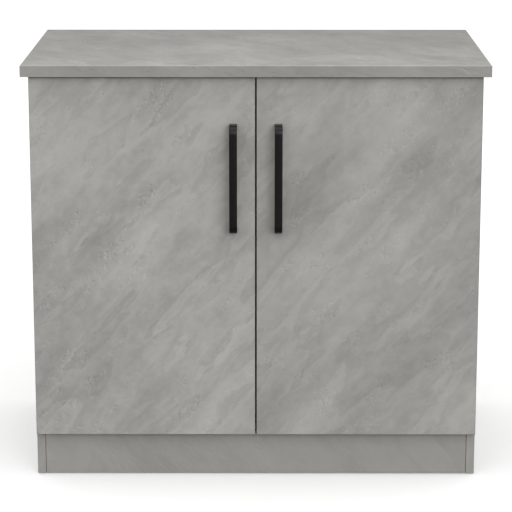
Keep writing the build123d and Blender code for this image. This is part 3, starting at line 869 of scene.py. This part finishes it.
@dataclass
class BowHandle:
    """A flat black bar bent into two feet that flare where they meet the door.

    The bar's outside and inside are two outlines in the plane of Y and Z, met point by
    point. A rounded rectangle as thick as the gap between them is carried along both.
    """

    side: Side
    bar_width: float = 14 * MM
    bar_depth: float = 9 * MM
    foot_height: float = 12 * MM
    outer_radius: float = 18 * MM
    inner_radius: float = 9 * MM
    rounding: float = 2 * MM
    flare: float = 9 * MM
    leg_steps: int = 16
    bend_steps: int = 14
    bar_steps: int = 24
    corner_steps: int = 6

    def outline(
        self, low: np.ndarray, high: np.ndarray, inset: tuple[float, float], radius: float
    ) -> np.ndarray:
        """Follow one outline of the bow from the lower foot to the upper one.

        The lower half runs straight from the door, round a quarter circle and along the
        bar; the upper half is the lower one turned over.

        Args:
            low: The handle box's lowest corner.
            high: Its highest corner.
            inset: How far the outline lies inside the box, at the feet and at the bar.
            radius: The bend's radius.

        Returns:
            Points (y, z), as many for any inset.
        """
        foot_z = low[2] + inset[0]
        front_y = low[1] + inset[1]
        middle_z = (low[2] + high[2]) / 2
        leg = np.linspace(high[1], front_y + radius, self.leg_steps)
        turn = np.linspace(0, math.pi / 2, self.bend_steps)[1:]
        rise = np.linspace(foot_z + radius, middle_z, self.bar_steps)[1:]
        bend_y = front_y + radius * (1 - np.sin(turn))
        bend_z = foot_z + radius * (1 - np.cos(turn))
        y = np.concatenate([leg, bend_y, np.full(len(rise), front_y)])
        z = np.concatenate([np.full(len(leg), foot_z), bend_z, rise])
        lower = np.stack([y, z], axis=-1)
        upper = lower[-2::-1] * (1, -1) + (0, 2 * middle_z)
        return np.concatenate([lower, upper])

    def surface(self) -> Surface:
        """Carry the rounded rectangle along the bow.

        Returns:
            The closed surface. Half the width at a distance d from the door, within the
            flare f, is half the bar's plus the spread times (1 - d / f) squared.
        """
        low, high = (np.array(corner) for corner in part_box(self.side.node("handle")))
        outer = self.outline(low, high, (0.0, 0.0), self.outer_radius)
        inner = self.outline(low, high, (self.foot_height, self.bar_depth), self.inner_radius)
        middle = (outer + inner) / 2
        across = outer - inner
        half_depth = np.linalg.norm(across, axis=1) / 2
        across /= 2 * half_depth[:, None]
        spread = (high[0] - low[0] - self.bar_width) / 2
        near = np.clip(1 - (high[1] - middle[:, 1]) / self.flare, 0, 1)
        half_width = self.bar_width / 2 + spread * near**2
        quarter = np.linspace(0, math.pi / 2, self.corner_steps)
        angle = np.concatenate([quarter + turn * math.pi / 2 for turn in range(4)])
        corner_a = np.repeat([1, -1, -1, 1], self.corner_steps)
        corner_b = np.repeat([1, 1, -1, -1], self.corner_steps)
        depth = corner_a * (half_depth[:, None] - self.rounding) + self.rounding * np.cos(angle)
        width = corner_b * (half_width[:, None] - self.rounding) + self.rounding * np.sin(angle)
        yz = middle[:, None] + across[:, None] * depth[..., None]
        x = (low[0] + high[0]) / 2 + width
        return Surface.skinned(np.concatenate([x[..., None], yz], axis=-1)[:, ::-1])

    def build(self, coat: bpy.types.Material) -> None:
        """Make the handle and fix it to its door.

        Args:
            coat: The handle's finish.
        """
        name = self.side.node("handle")
        bow = self.surface().piece(name + "_bow", coat)
        adopt(bow, self.side.node("door"), "black_enamel", name)


@dataclass
class Screws:
    """The screws or nails of one node: domed heads, crossed or plain, on plain shanks.

    The crown, the bevel and the recess's depth are shares of the head's height. The
    recess's reach and width and the pole, which is the innermost ring, are shares of the
    head's radius, and the point's sizes are shares of the shank's.
    """

    node: str
    body: str
    heads_face: Triple
    head_height: float
    shank_radius: float
    crown: float = 0.3
    drive: Drive = Drive.CROSS
    rings: int = 22
    around: int = 64
    recess_reach: float = 0.56
    recess_width: float = 0.17
    recess_depth: float = 0.62
    bevel: float = 0.12
    pole: float = 0.02
    point_radius: float = 0.6
    point_length: float = 0.7
    crease: float = 28.0

    def recess(self, x: np.ndarray, y: np.ndarray) -> np.ndarray:
        """Give how deep the cross recess is.

        It is deep where the smaller of x and y is under its width and the larger under its
        reach, with walls that slope over a quarter of the width. Its floor rises outwards,
        to half the depth at the head's edge.

        Args:
            x: The distance from the middle across the head, as a share of its radius.
            y: The distance the other way across.

        Returns:
            The depth at each place, in metres.
        """
        narrow, wide = np.minimum(x, y), np.maximum(x, y)
        slope = self.recess_width / 4
        arm = np.clip((self.recess_width - narrow) / slope, 0, 1)
        arm = arm * np.clip((self.recess_reach - wide) / slope, 0, 1)
        return self.head_height * self.recess_depth * arm * (1 - 0.5 * wide)

    def one(self, low: np.ndarray, high: np.ndarray) -> Surface:
        """Turn one screw about its axis.

        The head's height at a radius r is its rim's plus the crown times 1 - (r / R)^2,
        less the recess.

        Args:
            low: The screw box's lowest corner.
            high: Its highest corner.

        Returns:
            The closed surface.
        """
        axis = np.array(self.heads_face, dtype=float)
        along = int(np.abs(axis).argmax())
        others = [index for index in range(3) if index != along]
        radius = (high - low)[others].max() / 2
        length = (high - low)[along]
        tip = (low + high) / 2 - axis * length / 2
        side_a = np.zeros(3)
        side_a[others[0]] = 1.0
        side_b = np.cross(axis, side_a)
        angle = np.linspace(0, 2 * math.pi, self.around, endpoint=False)
        r = radius * np.linspace(self.pole, 1.0, self.rings)[::-1]
        crown = self.head_height * self.crown
        x = r[:, None] * np.cos(angle)
        y = r[:, None] * np.sin(angle)
        rim = length - crown
        height = rim + crown * (1 - (r[:, None] / radius) ** 2) + 0 * x
        if self.drive is Drive.CROSS:
            height = height - self.recess(np.abs(x) / radius, np.abs(y) / radius)
        bevel = self.bevel * self.head_height
        under = length - self.head_height
        stations = np.array([
            (self.shank_radius * self.point_radius, 0.0),
            (self.shank_radius, self.shank_radius * self.point_length),
            (self.shank_radius, under),
            (radius - bevel, under),
            (radius, under + bevel),
            (radius, rim - bevel),
        ])
        radii, heights = stations[:, :1], stations[:, 1:] + 0 * angle
        x = np.concatenate([radii * np.cos(angle), x * (1 - bevel / radius)])
        y = np.concatenate([radii * np.sin(angle), y * (1 - bevel / radius)])
        height = np.concatenate([heights, height])
        points = tip + x[..., None] * side_a + y[..., None] * side_b + height[..., None] * axis
        return Surface.skinned(points)

    def build(self, metal: bpy.types.Material) -> None:
        """Make every screw of the node as one piece.

        Args:
            metal: The screws' finish.
        """
        surface = Surface.joined([self.one(low, high) for low, high in solids(self.node)])
        driven = surface.piece(self.node + "_driven", metal, self.crease)
        adopt(driven, self.body, "plated_steel", self.node)


@dataclass
class CupHinges:
    """Both cup hinges of one door, with the coil springs round the outer links' pins.

    A coil starts at an angle in degrees and has a whole leg at that end and a share of one
    at the other. Only pins longer than the sprung pin's length have springs.
    """

    side: Side
    wire_radius: float = 0.5 * MM
    coil_turns: float = 2.2
    coil_inner: float = 4.65 * MM
    pin_radius: float = 1.25 * MM
    leg: float = 6.5 * MM
    coil_start: float = -70.0
    short_leg: float = 0.5
    sprung_pin: float = 15 * MM
    coil_steps: int = 64
    leg_steps: int = 6
    wire_sides: int = 12

    def spring(self, low: np.ndarray, high: np.ndarray, end: int) -> Surface:
        """Wind one spring on a pin.

        The wire's centre line climbs one wire for each turn about the pin, and leaves it
        along a tangent at both ends. A circle is carried along it.

        Args:
            low: The pin box's lowest corner.
            high: Its highest corner.
            end: 1 for the pin's upper end and -1 for its lower end.

        Returns:
            The closed surface.
        """
        centre = (low + high) / 2
        radius = self.pin_radius + self.wire_radius
        start = math.radians(self.coil_start)
        stop = math.radians(self.coil_start + 360 * self.coil_turns)
        turn = np.linspace(start, stop, self.coil_steps)
        rise = self.coil_inner + self.wire_radius * (1 + (turn - start) / math.pi)
        coil = np.stack([radius * np.cos(turn), radius * np.sin(turn), rise * end], axis=-1)
        reach = np.linspace(self.leg, 0, self.leg_steps)[:-1, None]
        first = coil[0] + reach * (math.sin(start), -math.cos(start), 0)
        last = coil[-1] + reach[::-1] * self.short_leg * (-math.sin(stop), math.cos(stop), 0)
        line = np.concatenate([first, coil, last]) * (-self.side.value, 1, 1)
        along = np.gradient(line, axis=0)
        along /= np.linalg.norm(along, axis=1, keepdims=True)
        out = np.cross(along, (0, 0, 1.0))
        out /= np.linalg.norm(out, axis=1, keepdims=True)
        up = np.cross(out, along)
        angle = np.linspace(0, 2 * math.pi, self.wire_sides, endpoint=False)[:, None]
        circle = out[:, None] * np.cos(angle) + up[:, None] * np.sin(angle)
        return Surface.skinned((centre + line)[:, None] + self.wire_radius * circle[:, ::-1])

    def build(self, steel: bpy.types.Material, casting: bpy.types.Material) -> None:
        """Dress the hinges' solids, and make their springs and screws.

        Args:
            steel: The finish of pressed and turned pieces.
            casting: The finish of the mounting plates.
        """
        node, door = self.side.node, self.side.node("door")
        pressed = ("hinge_arms", "arm_pins", "hinge_cups", "cup_pins")
        links = ("hinge_outer_links", "hinge_inner_links")
        dress(steel, *(node(name) for name in pressed + links))
        dress(casting, node("hinge_plates"))
        pins = solids(node("cup_pins"))
        sprung = [(low, high) for low, high in pins if high[2] - low[2] > self.sprung_pin]
        coils = [self.spring(low, high, end) for low, high in sprung for end in (-1, 1)]
        springs = Surface.joined(coils).piece(node("hinge_springs"), steel)
        adopt(springs, door, "plated_steel")
        inward = (-self.side.value, 0, 0)
        plates = Screws(
            node("plate_screws"), "carcass", inward, head_height=1.8 * MM, shank_radius=2.5 * MM
        )
        plates.build(steel)
        arms = Screws(
            node("arm_screws"),
            "carcass",
            inward,
            head_height=1.4 * MM,
            shank_radius=1.9 * MM,
            crown=0.1,
        )
        arms.build(steel)
        cups = Screws(
            node("cup_screws"), door, (0, 1, 0), head_height=1.2 * MM, shank_radius=1.8 * MM
        )
        cups.build(steel)


# Studio

@dataclass(frozen=True)
class Lamp:
    """A far, wide lamp, as strong on the floor far off as near the object.

    Its strength is in watts per square metre, and its spread is the angle in degrees that
    it fills.
    """

    name: str
    strength: float
    spread: float
    place: Triple

    def hang(self) -> None:
        """Hang the lamp on the line from the object's foot through its place."""
        light = bpy.data.lights.new(self.name, "SUN")
        light.energy = self.strength
        light.angle = math.radians(self.spread)
        holder = bpy.data.objects.new(self.name, light)
        holder.location = self.place
        holder.rotation_euler = (-Vector(self.place)).to_track_quat("-Z", "Y").to_euler()
        bpy.context.scene.collection.objects.link(holder)


@dataclass(frozen=True)
class StripLamp:
    """A long narrow lamp close over the worktop's front, which points straight down."""

    power: float
    length: float
    width: float
    place: Triple

    def hang(self) -> None:
        """Hang the lamp, out of the camera's sight."""
        light = bpy.data.lights.new("strip", "AREA")
        light.shape = "RECTANGLE"
        light.energy = self.power
        light.size = self.length
        light.size_y = self.width
        holder = bpy.data.objects.new("strip", light)
        holder.location = self.place
        holder.visible_camera = False
        bpy.context.scene.collection.objects.link(holder)


@dataclass
class Studio:
    """A pale floor, a white surround, soft lamps and the camera.

    The camera's distance ahead counts from the worktop's front, which lies behind the
    handles', and its pitch and yaw are in degrees. The focal length is in pixels of the
    picture.
    """

    key: Lamp = Lamp("key", strength=0.95, spread=30.0, place=(0.40, -1.0, 0.30))
    fill: Lamp = Lamp("fill", strength=0.30, spread=50.0, place=(-0.40, -1.0, 0.80))
    strip: StripLamp = StripLamp(power=2.0, length=1.3, width=0.2, place=(0.0, -0.29, 1.40))
    floor_reach: float = 40.0
    floor_tone: Colour = (0.88, 0.88, 0.88)
    floor_bounce: Colour = (0.18, 0.18, 0.18)
    floor_lift: float = 0.15
    handles_ahead: float = 20 * MM
    camera_ahead: float = 4.5
    camera_side: float = 0.0141
    camera_height: float = 1.567
    camera_pitch: float = 13.26
    camera_yaw: float = -0.175
    focal_pixels: float = 2143.0
    picture_pixels: float = 512.0
    sensor: float = 36.0
    farthest: float = 200.0

    def lay_floor(self) -> None:
        """Lay a flat floor that looks white, but bounces and mirrors as a darker one."""
        corner = np.array([[-1, -1, 0], [1, -1, 0], [1, 1, 0], [-1, 1, 0]]) * self.floor_reach
        g = Graph("studio_floor")
        seen = g.sighted()
        material = g.dress(
            Base_Color=g.blend(seen, self.floor_bounce, self.floor_tone),
            Roughness=0.9,
            Specular_IOR_Level=0.0,
            Emission_Color=(1.0, 1.0, 1.0),
            Emission_Strength=g.math("MULTIPLY", seen, self.floor_lift),
        )
        Surface(corner, [(0, 1, 2, 3)]).piece("studio_floor", material)

    def light_surround(self) -> None:
        """Make a plain white world."""
        world = bpy.data.worlds.new("studio_surround")
        world.use_nodes = True
        background = world.node_tree.nodes["Background"]
        background.inputs["Color"].default_value = (1.0, 1.0, 1.0, 1.0)
        background.inputs["Strength"].default_value = 1.0
        bpy.context.scene.world = world

    def set_camera(self) -> None:
        """Stand the camera in front, looking down a little, with a long lens."""
        lens = bpy.data.cameras.new("camera")
        lens.sensor_width = self.sensor
        lens.lens = self.focal_pixels / self.picture_pixels * self.sensor
        lens.clip_end = self.farthest
        camera = bpy.data.objects.new("camera", lens)
        front = CAD_BOX[0][1] + self.handles_ahead
        camera.location = (self.camera_side, front - self.camera_ahead, self.camera_height)
        tilt = math.radians(90 - self.camera_pitch)
        camera.rotation_euler = Euler((tilt, 0, math.radians(-self.camera_yaw)))
        bpy.context.scene.collection.objects.link(camera)
        bpy.context.scene.camera = camera

    def build(self) -> None:
        """Set up the floor, the surround, the lamps, the camera and plain colours."""
        self.lay_floor()
        self.light_surround()
        for lamp in (self.key, self.fill, self.strip):
            lamp.hang()
        self.set_camera()
        bpy.context.scene.view_settings.view_transform = "Standard"
        LOG.info("studio: floor, surround, lamps and camera")


def main() -> None:
    """Dress the cabinet from the carcass outwards, then set up the studio."""
    logging.basicConfig(level=logging.INFO, format="%(message)s")
    Carcass().dress()
    Worktop().dress()
    coat = PowderCoat().material()
    steel = Metal("plated_steel").material()
    zinc = Metal("zinc_casting", ZINC, roughness=0.46, mark=0.8 * MM, relief=0.05 * MM)
    casting = zinc.material()
    left = Door(Side.LEFT, seed=221.4, strata=Strata(19.0, 115.4, -92.5, 64.3), contrast=1.0)
    right = Door(
        Side.RIGHT,
        seed=366.9,
        strata=Strata(1.0, -56.7, -93.6, -355.4),
        contrast=0.82,
        tone=(0.338, 0.331, 0.312),
    )
    for door in (left, right):
        node = door.side.node
        door.dress()
        BowHandle(door.side).build(coat)
        CupHinges(door.side).build(steel, casting)
        screws = Screws(
            node("handle_screws"),
            node("door"),
            (0, 1, 0),
            head_height=2.2 * MM,
            shank_radius=2.0 * MM,
            crown=0.5,
        )
        screws.build(steel)
    screws = Screws(
        "worktop_screws",
        "carcass",
        (0, 0, -1),
        head_height=2.2 * MM,
        shank_radius=2.1 * MM,
        crown=0.5,
    )
    screws.build(steel)
    nails = Screws(
        "back_nails",
        "carcass",
        (0, 1, 0),
        head_height=0.5 * MM,
        shank_radius=0.8 * MM,
        crown=0.5,
        drive=Drive.PLAIN,
        rings=4,
        around=20,
    )
    nails.build(steel)
    Studio().build()


if __name__ == "__main__":
    main()
